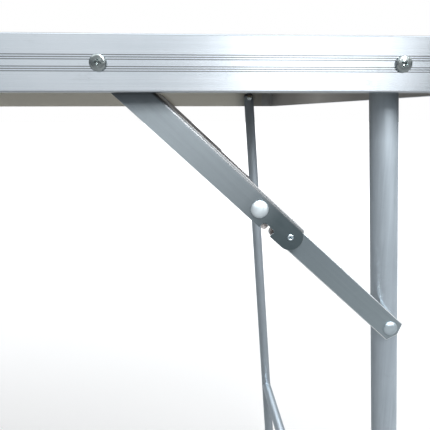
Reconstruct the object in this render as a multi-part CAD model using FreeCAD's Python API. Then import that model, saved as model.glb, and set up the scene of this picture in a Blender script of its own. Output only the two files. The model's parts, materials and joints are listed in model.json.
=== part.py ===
"""Folding table: an aluminium-framed board on two leg frames that fold flat underneath.

Frame: millimetres, +Z up, X along the long side, origin on the floor under the middle of the table.
Everything on one quarter of the table is drawn at the front right (+X, -Y) and mirrored.
A "depth" is measured inwards (+Y) from the outer face of the front rail.
"""

import FreeCAD
import Part
import math
import os

from FreeCAD import Vector

# ---- driving dimensions -------------------------------------------------------------------------
LENGTH = 1800.0          # over the frame
WIDTH = 600.0            # over the frame
HEIGHT = 700.0           # floor to the top of the frame

RAIL_HEIGHT = 28.0
RAIL_DEPTH = 8.0
RAIL_WALL = 1.2
RAIL_EDGE = 0.9          # rounding of the rail's outer lower edge
GROOVE_HEIGHTS = (10.1, 11.2, 12.3, 15.7, 16.8, 17.9)
GROOVE_WIDTH = 0.5
GROOVE_DEPTH = 0.35
BOARD = 4.0              # thickness of the board where the rails hold it
BOARD_SEAM = 0.2         # gap between the raised field and the rails' lips
BOARD_INSET = 1.4        # board edge to the outer face of the rail
CORNER = 25.0            # leg of a corner piece
CORNER_RADIUS = 12.0
PLUG = 20.0              # length of a corner piece's plug inside a rail
PLUG_GAP = 0.1

BRACE_X = 95.0
BRACE_WIDTH = 20.0
BRACE_HEIGHT = 12.0

TUBE = 16.0              # outer diameter of the legs and crossbars
TUBE_WALL = 1.2
TUBE_DEPTH = 24.0        # leg axis behind the outer face of the rail
LEAN = 4.4               # feet stand this many degrees outside the pivots
PIVOT_IN = 50.0          # leg pivot to the end of the table
PIVOT_UP = 14.0          # pivots above the bottom of the rail
TUBE_OVER_PIVOT = 2.5    # tube end beyond the pivot
CROSSBAR_HEIGHT = 140.0
FOOT = 9.0               # visible length of a foot
FOOT_DIAMETER = 16.6
FOOT_INSERT = 22.0

LINK = 154.0             # leg pivot to each end of the stay
SHEET = 1.2              # thickness of both arms
UPPER_WIDTH = 15.0       # of the upper arm's round ends
UPPER_EDGE = 8.3         # bent edge to the arm's middle line
UPPER_DEPTH = 10.1       # front face of the upper arm
FLANGE_DEPTH = 4.0
BEND = 1.8               # outer radius of the upper arm's bent edge
NOSE = 24.5              # knee to the centre of the upper arm's round nose
NOTCH = (6.9, 15.4)      # start and end of the notch beyond the knee
NOTCH_FLOOR = 3.4        # notch floor to the arm's middle line
NOTCH_CORNER = 1.2
FLANGE = (2.0, 3.7)      # start beyond the rail pivot, and end beyond the nose's centre
LOWER_WIDTH = 14.0
LOWER_DEPTH = 14.5       # front face of the lower arm
KNEE_END = 6.2           # radius of the lower arm's knee end
LOCK_TAB = (9.8, 2.0)    # centre beyond the knee, and radius
LOCK_TAB_DROP = 5.4      # centre to the arm's middle line
SLOT_END = 13.0          # end of the lock slot beyond the knee
SLOT_FLOOR = 3.0         # slot floor to the arm's middle line
SLOT_CORNER = 3.0
TIP = 6.6                # point of the lower arm beyond its pivot on the leg
TIP_BEVEL = 2.7          # length of the bevels that make the point
TIP_ROUNDING = 0.8

SCREW = 5.0              # leg pivot screw
THIN_SCREW = 4.0         # stay pivot and brace screws
SCREW_HEAD = 8.6
BRACE_SCREW_HEAD = 7.6
SCREW_HEAD_HEIGHT = 2.4
SCREW_TAIL = 3.5         # leg pivot screw beyond the leg
STAY_SCREW_TAIL = 3.0    # stay pivot screw beyond the rail
LEG_HOLE = 5.6           # clearance hole for the leg pivot screw
SPACER = 12.0
NUT_ACROSS = 8.0
NUT_HEIGHT = 3.2
NUT_CAP = 5.4            # height of the whole cap nut
NUT_CAP_ROUNDING = 2.0
BARREL = 6.0             # barrel nut that the upper arm turns on
BARREL_FLANGE = 9.4
BARREL_FLANGE_THICKNESS = 1.2
WASHER = 10.0
SIDE_PLAY = 0.15         # axial gap beside a piece that turns
RUNNING = 0.05           # radial clearance of a turning fit
OVERLAP = 0.5            # how far one piece's blocks run into each other

KNEE_HEAD = 10.2
KNEE_HEAD_HEIGHT = 1.7
KNEE_SHANK = 6.0
KNEE_COLLAR = 9.0
KNEE_BUSH = 5.0
KNEE_GAP = 0.2           # between the collar and the lower arm
LEG_RIVET_HEAD = 7.2
LEG_RIVET_HEAD_HEIGHT = 1.3
LEG_RIVET_SHANK = 4.0
LEG_RIVET_TAIL = 2.0     # inside the tube
EYELET = 3.8
EYELET_SHANK = 2.4
EYELET_HOLE = 1.3
EYELET_LIP = 0.7

# ---- places worked out from them ----------------------------------------------------------------
RAIL_BOTTOM = HEIGHT - RAIL_HEIGHT
PIVOT_Z = RAIL_BOTTOM + PIVOT_UP
PIVOT_X = LENGTH / 2 - PIVOT_IN
BOARD_TOP = HEIGHT - RAIL_WALL
BOARD_BOTTOM = BOARD_TOP - BOARD
CHAMBER_TOP = BOARD_BOTTOM - RAIL_WALL
BETA = 45.0 - LEAN / 2                            # slope of the straight stay
ARM = LINK * math.sin(math.radians(45.0 + LEAN / 2))
LEG = PIVOT_Z / math.cos(math.radians(LEAN))      # pivot to floor along the leg
FRONT = -WIDTH / 2

KNEE_X = PIVOT_X - LINK + ARM * math.cos(math.radians(BETA))
KNEE_Z = PIVOT_Z - ARM * math.sin(math.radians(BETA))

X_AXIS = Vector(1, 0, 0)
Y_AXIS = Vector(0, 1, 0)
Z_AXIS = Vector(0, 0, 1)
ORIGIN = Vector(0, 0, 0)


# ---- helpers ------------------------------------------------------------------------------------
def box(x0, x1, y0, y1, z0, z1):
    """A box between two opposite corners."""
    return Part.makeBox(x1 - x0, y1 - y0, z1 - z0, Vector(x0, y0, z0))


def rod(diameter, start, end, x=0.0, z=0.0):
    """A cylinder along Y between two depths."""
    return Part.makeCylinder(diameter / 2, end - start, Vector(x, start, z), Y_AXIS)


def ring(outer, inner, start, end):
    """A tube along Y between two depths."""
    return rod(outer, start, end).cut(rod(inner, start - 1, end + 1))


def extrude(points, direction):
    """A prism from a closed outline of straight edges."""
    return Part.Face(Part.makePolygon(points + [points[0]])).extrude(direction)


def mirror_x(shape):
    return shape.mirror(ORIGIN, X_AXIS)


def mirror_y(shape):
    return shape.mirror(ORIGIN, Y_AXIS)


def corners(shape):
    """The same piece at all four corners."""
    return [shape, mirror_x(shape), mirror_y(shape), mirror_x(mirror_y(shape))]


def at_depth(shape, x, z):
    """Move a piece drawn about (0, depth, 0) to a pivot on the front rail."""
    moved = shape.copy()
    moved.translate(Vector(x, FRONT, z))
    return moved


def save(name, solids):
    """One STEP file per node, and a fault stops the run."""
    if not isinstance(solids, list):
        solids = [solids]
    solids = [one.Solids[0] if len(one.Solids) == 1 else one for one in solids]
    for one in solids:
        if not one.isValid() or len(one.Solids) != 1:
            raise ValueError(name + " isn't one valid solid")
    shape = solids[0] if len(solids) == 1 else Part.makeCompound(solids)
    shape.exportStep("parts/" + name + ".step")


# ---- frame and board ----------------------------------------------------------------------------
def rail_section():
    """Outline of a rail in the YZ plane, outer face at y = 0, bottom at z = 0, for x = 0."""
    top = RAIL_HEIGHT
    slot_top = top - RAIL_WALL
    slot_bottom = slot_top - BOARD
    p = [Vector(0, RAIL_EDGE, 0), Vector(0, RAIL_DEPTH, 0), Vector(0, RAIL_DEPTH, slot_bottom),
         Vector(0, RAIL_WALL, slot_bottom), Vector(0, RAIL_WALL, slot_top),
         Vector(0, RAIL_DEPTH, slot_top), Vector(0, RAIL_DEPTH, top), Vector(0, RAIL_EDGE, top)]
    edges = [Part.makeLine(p[i], p[i + 1]) for i in range(len(p) - 1)]
    bow = RAIL_EDGE * (1 - math.sqrt(0.5))
    upper_mid = Vector(0, bow, top - bow)
    lower_mid = Vector(0, bow, bow)
    upper_end = Vector(0, 0, top - RAIL_EDGE)
    lower_end = Vector(0, 0, RAIL_EDGE)
    edges.append(Part.Arc(p[-1], upper_mid, upper_end).toShape())
    edges.append(Part.makeLine(upper_end, lower_end))
    edges.append(Part.Arc(lower_end, lower_mid, p[0]).toShape())
    return Part.Face(Part.Wire(edges))


def rail(length):
    """A hollow extrusion along X, centred on x = 0, with fine grooves in its outer face."""
    body = rail_section().extrude(Vector(length, 0, 0))
    chamber = box(-1, length + 1, RAIL_WALL, RAIL_DEPTH - RAIL_WALL,
                  RAIL_WALL, CHAMBER_TOP - RAIL_BOTTOM)
    body = body.cut(chamber)
    for height in GROOVE_HEIGHTS:
        low = height - GROOVE_WIDTH / 2
        body = body.cut(box(-1, length + 1, -1, GROOVE_DEPTH, low, low + GROOVE_WIDTH))
    body.translate(Vector(-length / 2, 0, RAIL_BOTTOM))
    return body


def long_rail():
    """The front rail, drilled for the leg pivots, the stay pivots and the brace screws."""
    body = rail(LENGTH - 2 * CORNER)
    body.translate(Vector(0, FRONT, 0))
    for side in (-1, 1):
        for x in (PIVOT_X, PIVOT_X - LINK):
            hole = rod(SCREW, -1, RAIL_DEPTH + 1)
            body = body.cut(at_depth(hole, side * x, PIVOT_Z))
        hole = rod(THIN_SCREW, -1, RAIL_DEPTH + 1)
        body = body.cut(at_depth(hole, side * BRACE_X, brace_middle()))
    return body


def end_rail():
    """The right rail."""
    body = rail(WIDTH - 2 * CORNER)
    body.rotate(ORIGIN, Z_AXIS, 90)
    body.translate(Vector(LENGTH / 2, 0, 0))
    return body


def rounded_square(inset, radius, z0, z1):
    """A block with one rounded corner, its faces `inset` inside the front right corner."""
    far_x = LENGTH / 2 - inset
    near_y = FRONT + inset
    size = 3 * CORNER
    block = box(far_x - size, far_x, near_y, near_y + size, z0, z1)
    edges = [e for e in block.Edges
             if abs(e.CenterOfMass.x - far_x) < 1e-6 and abs(e.CenterOfMass.y - near_y) < 1e-6]
    return block.makeFillet(radius, edges)


def corner_piece():
    """A moulded corner with a plug for each of the two rails."""
    top = HEIGHT
    outer = rounded_square(0, CORNER_RADIUS, RAIL_BOTTOM, top)
    inner = rounded_square(RAIL_DEPTH, CORNER_RADIUS - RAIL_DEPTH, RAIL_BOTTOM - 1, top + 1)
    board = rounded_square(BOARD_INSET, CORNER_RADIUS - BOARD_INSET, BOARD_BOTTOM, BOARD_TOP)
    reach = box(LENGTH / 2 - CORNER, LENGTH / 2, FRONT, FRONT + CORNER, RAIL_BOTTOM, top)
    body = outer.common(reach).cut(inner).cut(board)
    low = RAIL_BOTTOM + RAIL_WALL + PLUG_GAP
    high = CHAMBER_TOP - PLUG_GAP
    near = RAIL_WALL + PLUG_GAP
    far = RAIL_DEPTH - RAIL_WALL - PLUG_GAP
    seam_x = LENGTH / 2 - CORNER
    seam_y = FRONT + CORNER
    body = body.fuse(box(seam_x - PLUG, seam_x + 1, FRONT + near, FRONT + far, low, high))
    body = body.fuse(box(LENGTH / 2 - far, LENGTH / 2 - near, seam_y - 1, seam_y + PLUG, low, high))
    return body.removeSplitter()


def board():
    """The board: its edge is held under the rails' lips and its field is flush with them."""
    inset = BOARD_INSET
    body = box(-LENGTH / 2 + inset, LENGTH / 2 - inset, FRONT + inset, -FRONT - inset,
               BOARD_BOTTOM, BOARD_TOP)
    upright = [e for e in body.Edges if abs(e.CenterOfMass.z - (BOARD_BOTTOM + BOARD_TOP) / 2) < 1e-6]
    body = body.makeFillet(CORNER_RADIUS - inset, upright)
    edge = RAIL_DEPTH + BOARD_SEAM
    radius = CORNER_RADIUS - edge
    field = box(-LENGTH / 2 + edge, LENGTH / 2 - edge, FRONT + edge, -FRONT - edge,
                BOARD_BOTTOM, HEIGHT)
    upright = [e for e in field.Edges if abs(e.CenterOfMass.z - (BOARD_BOTTOM + HEIGHT) / 2) < 1e-6]
    return body.fuse(field.makeFillet(radius, upright)).removeSplitter()


def brace_middle():
    return BOARD_BOTTOM - BRACE_HEIGHT / 2


def brace():
    """A hollow bar under the board, from rail to rail."""
    half = BRACE_WIDTH / 2
    low = BOARD_BOTTOM - BRACE_HEIGHT
    reach = -FRONT - RAIL_DEPTH
    body = box(BRACE_X - half, BRACE_X + half, -reach, reach, low, BOARD_BOTTOM)
    hollow = box(BRACE_X - half + RAIL_WALL, BRACE_X + half - RAIL_WALL, -reach - 1, reach + 1,
                 low + RAIL_WALL, BOARD_BOTTOM - RAIL_WALL)
    return body.cut(hollow)


def brace_end():
    """A moulded plug inside the front end of a brace, with a pilot hole for its screw."""
    gap = PLUG_GAP
    half = BRACE_WIDTH / 2 - RAIL_WALL - gap
    low = BOARD_BOTTOM - BRACE_HEIGHT + RAIL_WALL + gap
    high = BOARD_BOTTOM - RAIL_WALL - gap
    start = FRONT + RAIL_DEPTH
    body = box(BRACE_X - half, BRACE_X + half, start, start + 2 * PLUG, low, high)
    pilot = at_depth(rod(THIN_SCREW, 0, RAIL_DEPTH + 1.5 * PLUG), BRACE_X, brace_middle())
    return body.cut(pilot)


# ---- fasteners ----------------------------------------------------------------------------------
def round_rim(body, depth, radius):
    """Round the circular edge that a piece has at one depth."""
    return body.makeFillet(radius, [e for e in body.Edges if abs(e.CenterOfMass.y - depth) < 1e-6])


def pan_head_screw(shank, head, length):
    """A pan-head screw along +Y with a cross recess; its head stands in front of depth 0."""
    height = SCREW_HEAD_HEIGHT
    body = round_rim(rod(head, -height, 0), -height, 0.7 * height)
    arm = 0.27 * head
    slot = 0.065 * head
    floor = -0.35 * height
    body = body.cut(box(-arm, arm, -height - 1, floor, -slot, slot))
    body = body.cut(box(-slot, slot, -height - 1, floor, -arm, arm))
    body = body.fuse(rod(shank, floor + OVERLAP, length))
    return body.removeSplitter()


def leg_pivot_screw():
    reach = TUBE_DEPTH + TUBE / 2 + SCREW_TAIL
    return at_depth(pan_head_screw(SCREW, SCREW_HEAD, reach), PIVOT_X, PIVOT_Z)


def leg_pivot_spacer():
    """A plastic bush between the rail and the leg."""
    body = ring(SPACER, SCREW, RAIL_DEPTH, TUBE_DEPTH - TUBE / 2 - SIDE_PLAY)
    return at_depth(body, PIVOT_X, PIVOT_Z)


def leg_pivot_nut():
    """A cap nut on the inner side of the leg."""
    start = TUBE_DEPTH + TUBE / 2 + 2 * SIDE_PLAY
    radius = NUT_ACROSS / math.sqrt(3)
    corners_at = [math.radians(60 * i) for i in range(6)]
    points = [Vector(radius * math.cos(a), start, radius * math.sin(a)) for a in corners_at]
    body = extrude(points, Vector(0, NUT_HEIGHT, 0))
    cap = rod(0.86 * NUT_ACROSS, start + NUT_HEIGHT - OVERLAP, start + NUT_CAP)
    body = body.fuse(round_rim(cap, start + NUT_CAP, NUT_CAP_ROUNDING))
    reach = TUBE_DEPTH + TUBE / 2 + SCREW_TAIL
    body = body.cut(rod(SCREW, 0, reach)).removeSplitter()
    return at_depth(body, PIVOT_X, PIVOT_Z)


def stay_pivot_screw():
    body = pan_head_screw(THIN_SCREW, SCREW_HEAD, RAIL_DEPTH + STAY_SCREW_TAIL)
    return at_depth(body, PIVOT_X - LINK, PIVOT_Z)


def stay_pivot_nut():
    """A barrel nut with a thin flange that holds the upper arm and lets it turn."""
    flange = UPPER_DEPTH + SHEET + SIDE_PLAY
    body = rod(BARREL, RAIL_DEPTH, flange + OVERLAP)
    body = body.fuse(rod(BARREL_FLANGE, flange, flange + BARREL_FLANGE_THICKNESS))
    body = body.cut(rod(THIN_SCREW, 0, RAIL_DEPTH + STAY_SCREW_TAIL)).removeSplitter()
    return at_depth(body, PIVOT_X - LINK, PIVOT_Z)


def stay_pivot_washer():
    """A nylon washer that keeps the upper arm clear of the rail."""
    body = ring(WASHER, BARREL, RAIL_DEPTH, UPPER_DEPTH - SIDE_PLAY)
    return at_depth(body, PIVOT_X - LINK, PIVOT_Z)


def brace_screw():
    body = pan_head_screw(THIN_SCREW, BRACE_SCREW_HEAD, RAIL_DEPTH + 1.4 * PLUG)
    return at_depth(body, BRACE_X, brace_middle())


def dome(diameter, height, base):
    """A domed rivet head whose flat side is at depth `base` and whose crown faces outwards."""
    radius = (diameter ** 2 / 4 + height ** 2) / (2 * height)
    ball = Part.makeSphere(radius, Vector(0, base - height + radius, 0))
    return ball.common(rod(diameter, base - height - 1, base))


# ---- leg frame ----------------------------------------------------------------------------------
def lean(shape):
    """Turn a piece drawn straight down from the pivot to the leg's lean, at the front right."""
    shape.rotate(ORIGIN, Y_AXIS, -LEAN)
    return at_depth(shape, PIVOT_X, PIVOT_Z)


def along_leg(diameter, start, end):
    """A cylinder on the leg's axis, from one distance below the pivot to another."""
    return Part.makeCylinder(diameter / 2, end - start, Vector(0, TUBE_DEPTH, -end))


def crossbar_drop():
    """Distance from the pivot to the crossbar, along the leg."""
    return LEG - CROSSBAR_HEIGHT / math.cos(math.radians(LEAN))


def leg_tube():
    body = along_leg(TUBE, -TUBE_OVER_PIVOT, LEG - FOOT)
    body = body.cut(along_leg(TUBE - 2 * TUBE_WALL, -TUBE_OVER_PIVOT - 1, LEG))
    body = body.cut(rod(LEG_HOLE, 0, 2 * TUBE_DEPTH))
    body = body.cut(rod(LEG_RIVET_SHANK, 0, TUBE_DEPTH, 0, -LINK))
    return lean(body)


def leg_top_plug():
    """A plastic plug that closes the top of the leg and carries its pivot screw."""
    cap = along_leg(TUBE, -TUBE, -TUBE_OVER_PIVOT).common(rod(TUBE, 0, 2 * TUBE_DEPTH))
    stem = along_leg(TUBE - 2 * TUBE_WALL - 2 * PLUG_GAP, -TUBE_OVER_PIVOT - 1, PLUG)
    body = cap.fuse(stem).removeSplitter()
    return lean(body.cut(rod(SCREW + 2 * RUNNING, 0, 2 * TUBE_DEPTH)))


def foot():
    """A foot with a stem inside the tube, cut level with the floor."""
    body = along_leg(FOOT_DIAMETER, LEG - FOOT, LEG + FOOT)
    body = body.fuse(along_leg(TUBE - 2 * TUBE_WALL - 2 * PLUG_GAP, LEG - FOOT - FOOT_INSERT, LEG))
    body = lean(body.removeSplitter())
    below = box(PIVOT_X - 100, PIVOT_X + 200, FRONT - 50, FRONT + 100, -100, 0)
    return body.cut(below)


def crossbar():
    """The bar between the two legs of a frame, its ends shaped to the tubes."""
    drop = crossbar_drop()
    x = PIVOT_X + drop * math.sin(math.radians(LEAN))
    z = PIVOT_Z - drop * math.cos(math.radians(LEAN))
    span = -FRONT - TUBE_DEPTH
    body = rod(TUBE, -span, span, x, z).cut(rod(TUBE - 2 * TUBE_WALL, -span, span, x, z))
    leg = lean(along_leg(TUBE, drop - 2 * TUBE, drop + 2 * TUBE))
    return body.cut(leg).cut(mirror_y(leg))


def leg_rivet():
    """The rivet that holds the lower arm to the leg."""
    body = dome(LEG_RIVET_HEAD, LEG_RIVET_HEAD_HEIGHT, LOWER_DEPTH - RUNNING)
    inside = TUBE_DEPTH - TUBE / 2 + TUBE_WALL
    shank = rod(LEG_RIVET_SHANK, LOWER_DEPTH - OVERLAP, inside + LEG_RIVET_TAIL)
    body = body.fuse(shank).removeSplitter()
    body.translate(Vector(0, 0, -LINK))
    return lean(body)


# ---- stay: upper arm, lower arm and knee --------------------------------------------------------
def on_stay(shape):
    """Place a piece drawn about the knee, with +X towards the leg end of the straight stay."""
    shape.rotate(ORIGIN, Y_AXIS, BETA)
    return at_depth(shape, KNEE_X, KNEE_Z)


def upper_arm():
    """A pressed channel: flat web, one bent edge, a round nose past the knee and a notch."""
    half = UPPER_WIDTH / 2
    edge = UPPER_EDGE
    low = edge - BEND
    front = UPPER_DEPTH
    back = front + SHEET
    web = box(-ARM, NOSE, front, back, -half, low)
    web = web.fuse(rod(UPPER_WIDTH, front, back, -ARM))
    web = web.fuse(rod(UPPER_WIDTH, front, back, NOSE)).removeSplitter()
    start = FLANGE[0] - ARM
    end = NOSE + FLANGE[1]
    web = web.cut(box(start, end, front - 1, back + 1, low, edge + 1))

    inner = BEND - SHEET
    bow = math.sqrt(0.5)
    flange_back = front + FLANGE_DEPTH
    a = Vector(start, front, low)
    a_mid = Vector(start, front + BEND * (1 - bow), low + BEND * bow)
    b = Vector(start, front + BEND, edge)
    c = Vector(start, flange_back, edge)
    d = Vector(start, flange_back, edge - SHEET)
    e = Vector(start, front + BEND, edge - SHEET)
    e_mid = Vector(start, front + BEND - inner * bow, low + inner * bow)
    f = Vector(start, back, low)
    outline = [Part.Arc(a, a_mid, b).toShape(), Part.makeLine(b, c), Part.makeLine(c, d),
               Part.makeLine(d, e), Part.Arc(e, e_mid, f).toShape(), Part.makeLine(f, a)]
    flange = Part.Face(Part.Wire(outline)).extrude(Vector(end - start, 0, 0))
    body = web.fuse(flange)

    notch = box(NOTCH[0], NOTCH[1], front - 1, back + 1, -half - 1, -NOTCH_FLOOR)
    inner_edges = [x for x in notch.Edges if abs(x.CenterOfMass.z + NOTCH_FLOOR) < 1e-6
                   and abs(x.CenterOfMass.y - (front + back) / 2) < 1e-6]
    body = body.cut(notch.makeFillet(NOTCH_CORNER, inner_edges))
    body = body.cut(rod(BARREL + 2 * RUNNING, front - 1, back + 1, -ARM))
    body = body.cut(rod(KNEE_SHANK, front - 1, back + 1, 0))
    body = body.cut(rod(EYELET_SHANK, front - 1, back + 1, NOSE))
    return on_stay(body.removeSplitter())


def knee_rivet():
    """The knee's domed rivet and the collar that spaces the two arms."""
    back = UPPER_DEPTH + SHEET
    body = dome(KNEE_HEAD, KNEE_HEAD_HEIGHT, UPPER_DEPTH)
    body = body.fuse(rod(KNEE_SHANK, UPPER_DEPTH - OVERLAP, back + OVERLAP))
    body = body.fuse(rod(KNEE_COLLAR, back, LOWER_DEPTH - KNEE_GAP))
    return on_stay(body.removeSplitter())


def nose_rivet():
    """A small eyelet through the nose of the upper arm."""
    front = UPPER_DEPTH
    back = front + SHEET
    body = round_rim(rod(EYELET, front - EYELET_LIP, front, NOSE), front - EYELET_LIP, 0.7 * EYELET_LIP)
    body = body.fuse(rod(EYELET_SHANK, front - EYELET_LIP / 2, back + OVERLAP, NOSE))
    body = body.fuse(rod(EYELET, back, back + EYELET_LIP, NOSE))
    body = body.cut(rod(EYELET_HOLE, front - 2, back, NOSE))
    return on_stay(body.removeSplitter())


def lower_arm():
    """A flat bar with a small lock tab and slot behind the upper arm's notch."""
    half = LOWER_WIDTH / 2
    front = LOWER_DEPTH
    back = front + SHEET
    far = ARM + TIP
    shoulder = far - TIP_BEVEL
    outline = [Vector(0, front, KNEE_END), Vector(SLOT_END, front, half),
               Vector(shoulder, front, half), Vector(far, front, 0), Vector(shoulder, front, -half),
               Vector(SLOT_END, front, -half), Vector(SLOT_END, front, -SLOT_FLOOR),
               Vector(0, front, -SLOT_FLOOR)]
    plate = extrude(outline, Vector(0, SHEET, 0))
    rounded = [e for e in plate.Edges
               if abs(e.CenterOfMass.x - SLOT_END) < 1e-6 and abs(e.CenterOfMass.z + half) < 1e-6]
    plate = plate.makeFillet(SLOT_CORNER, rounded)
    blunt = [e for e in plate.Edges
             if abs(e.CenterOfMass.y - front - SHEET / 2) < 1e-6 and e.CenterOfMass.x > shoulder - 1]
    plate = plate.makeFillet(TIP_ROUNDING, blunt)
    plate = plate.fuse(rod(2 * KNEE_END, front, back))
    tab_x, tab_radius = LOCK_TAB
    tab_z = -LOCK_TAB_DROP
    plate = plate.fuse(rod(2 * tab_radius, front, back, tab_x, tab_z))
    plate = plate.fuse(box(tab_x - tab_radius, tab_x + tab_radius, front, back, tab_z, 0))
    plate = plate.cut(rod(KNEE_BUSH, front - 1, back + 1, 0))
    plate = plate.cut(rod(LEG_RIVET_SHANK + 2 * RUNNING, front - 1, back + 1, ARM))
    return on_stay(plate.removeSplitter())


def knee_bush():
    """The closed tail of the knee rivet, flush in the lower arm."""
    return on_stay(rod(KNEE_BUSH, LOWER_DEPTH, LOWER_DEPTH + SHEET))


# ---- build --------------------------------------------------------------------------------------
def build():
    os.makedirs("parts", exist_ok=True)

    front_rail = long_rail()
    save("front_rail", front_rail)
    save("back_rail", mirror_y(front_rail))
    right_rail = end_rail()
    save("right_rail", right_rail)
    save("left_rail", mirror_x(right_rail))
    save("corner_pieces", corners(corner_piece()))
    save("table_board", board())
    save("right_brace", brace())
    save("left_brace", mirror_x(brace()))
    save("brace_end_plugs", corners(brace_end()))
    save("brace_screws", corners(brace_screw()))
    save("leg_pivot_screws", corners(leg_pivot_screw()))
    save("leg_pivot_spacers", corners(leg_pivot_spacer()))
    save("leg_pivot_nuts", corners(leg_pivot_nut()))
    save("stay_pivot_screws", corners(stay_pivot_screw()))
    save("stay_pivot_nuts", corners(stay_pivot_nut()))
    save("stay_pivot_washers", corners(stay_pivot_washer()))

    pairs = {"leg_top_plugs": leg_top_plug(), "feet": foot(), "leg_rivets": leg_rivet()}
    for name, piece in pairs.items():
        save("right_" + name, [piece, mirror_y(piece)])
        save("left_" + name, [mirror_x(piece), mirror_x(mirror_y(piece))])
    save("right_crossbar", crossbar())
    save("left_crossbar", mirror_x(crossbar()))

    singles = {"leg": leg_tube(), "upper_arm": upper_arm(), "knee_rivet": knee_rivet(),
               "nose_rivet": nose_rivet(), "lower_arm": lower_arm(), "knee_bush": knee_bush()}
    for name, piece in singles.items():
        save("front_right_" + name, piece)
        save("front_left_" + name, mirror_x(piece))
        save("back_right_" + name, mirror_y(piece))
        save("back_left_" + name, mirror_x(mirror_y(piece)))


build()
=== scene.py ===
import bmesh
import bpy
import json
import math
from mathutils import Matrix, Vector


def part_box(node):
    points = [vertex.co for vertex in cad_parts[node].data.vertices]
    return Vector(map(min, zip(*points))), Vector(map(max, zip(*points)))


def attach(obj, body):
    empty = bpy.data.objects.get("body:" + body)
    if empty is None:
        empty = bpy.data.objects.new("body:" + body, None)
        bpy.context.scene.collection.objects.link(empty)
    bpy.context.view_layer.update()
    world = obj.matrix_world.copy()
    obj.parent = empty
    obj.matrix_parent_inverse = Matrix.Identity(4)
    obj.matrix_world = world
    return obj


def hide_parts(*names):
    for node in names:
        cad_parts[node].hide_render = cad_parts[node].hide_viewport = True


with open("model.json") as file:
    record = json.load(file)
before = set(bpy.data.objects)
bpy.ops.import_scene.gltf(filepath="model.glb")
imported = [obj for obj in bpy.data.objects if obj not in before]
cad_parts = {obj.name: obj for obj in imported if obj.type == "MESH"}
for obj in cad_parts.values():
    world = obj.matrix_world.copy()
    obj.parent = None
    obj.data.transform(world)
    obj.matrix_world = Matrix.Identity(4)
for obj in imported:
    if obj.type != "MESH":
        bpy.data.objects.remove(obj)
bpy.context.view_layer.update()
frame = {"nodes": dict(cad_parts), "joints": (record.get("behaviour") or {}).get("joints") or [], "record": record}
MM = 0.001

# ---- places read from the frame, in metres -------------------------------------------------------
JOINTS = {joint["name"]: joint for joint in frame["joints"]}
RAIL_LOW, RAIL_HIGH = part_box("front_rail")
FRONT = RAIL_LOW.y                                   # the outer face of the front rail
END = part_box("right_rail")[1].x                      # the outer face of the right rail
PIVOT = Vector(JOINTS["right_leg_fold"]["pos_m"])
HINGE = Vector(JOINTS["front_right_stay_hinge"]["pos_m"])
LEG_END = Vector(JOINTS["front_right_stay_leg_pivot"]["pos_m"])
KNEE = (HINGE + LEG_END) / 2
SLOPE = math.atan2(HINGE.z - LEG_END.z, LEG_END.x - HINGE.x)
LEAN = math.atan2(LEG_END.x - PIVOT.x, PIVOT.z - LEG_END.z)

# ---- the camera, in the table's frame ------------------------------------------------------------
FOCAL_LENGTH = 39.33                                 # mm, on a 36 mm sensor
CAMERA_FROM_PIVOT = -113.15 * MM                     # along the rail, towards the middle
CAMERA_BEFORE_RAIL = 244.16 * MM
CAMERA_BELOW_RAIL = 9.63 * MM
YAW = math.radians(3.854)
PITCH = math.radians(12.377)
ROLL = math.radians(0.116)

# ---- sizes of one quarter of the table, in mm; a depth is measured back from the rail's face -----
SHEET = 1.2                                          # thickness of the stays' arms
UPPER_FACE = 10.1                                    # depth of the upper arm's outer face
LOWER_FACE = 14.5                                    # depth of the lower arm's outer face
TUBE_AXIS = 24.0                                     # depth of the leg's axis
TUBE_RADIUS = 8.0

ARM = (LEG_END - HINGE).length / MM / 2              # either arm, from pivot to pivot
UPPER_HALF = 7.5                                     # half the width of the upper arm
UPPER_EDGE = 8.3                                     # its bent edge to its middle line
BEND = 1.8                                           # outer radius of the bend
BEND_TURN = math.radians(87)
BEND_STEPS = 6
FOLD = UPPER_EDGE - BEND                             # where the bend starts
NOSE = 24.5                                          # knee to the centre of the rounded nose
FLANGE = 2.1                                         # straight part of the bent edge
FLANGE_GAP = 2.0                                     # rail pivot to the start of the flange
FLANGE_START = FLANGE_GAP - ARM                      # both ends of the flange, from the knee
FLANGE_END = NOSE + math.sqrt(UPPER_HALF ** 2 - FOLD ** 2)
FLANGE_CORNER = 1.5                                  # radius of its corners
RELIEF = 0.15                                        # slit that frees the flange's end
NOTCH = (6.9, 15.4)                                  # start and end of the lock's notch
NOTCH_FLOOR = -3.4
NOTCH_ROUND = 2.0                                    # its corner on the knee's side
NOTCH_CORNER = 1.2                                   # and on the leg's side

LOWER_HALF = 7.0                                     # half the width of the lower arm
KNEE_RADIUS = 6.2                                    # round end of the lower arm
TIP = ARM + 6.6                                      # the blunt point past the leg's rivet
TIP_LENGTH = 2.7                                     # how far it tapers
TIP_ROUND = 0.8
LOCK_TAB = (9.8, -5.4)                               # centre of the lock tab's round end
LOCK_TAB_RADIUS = 2.0
SLOT_FLOOR = -3.0                                    # the arm's edge on both sides of the tab
SLOT_END = 13.0
SLOT_CORNER = 3.0
EDGE_ROUND = 0.52                                    # rounding of the arms' cut edges

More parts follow.
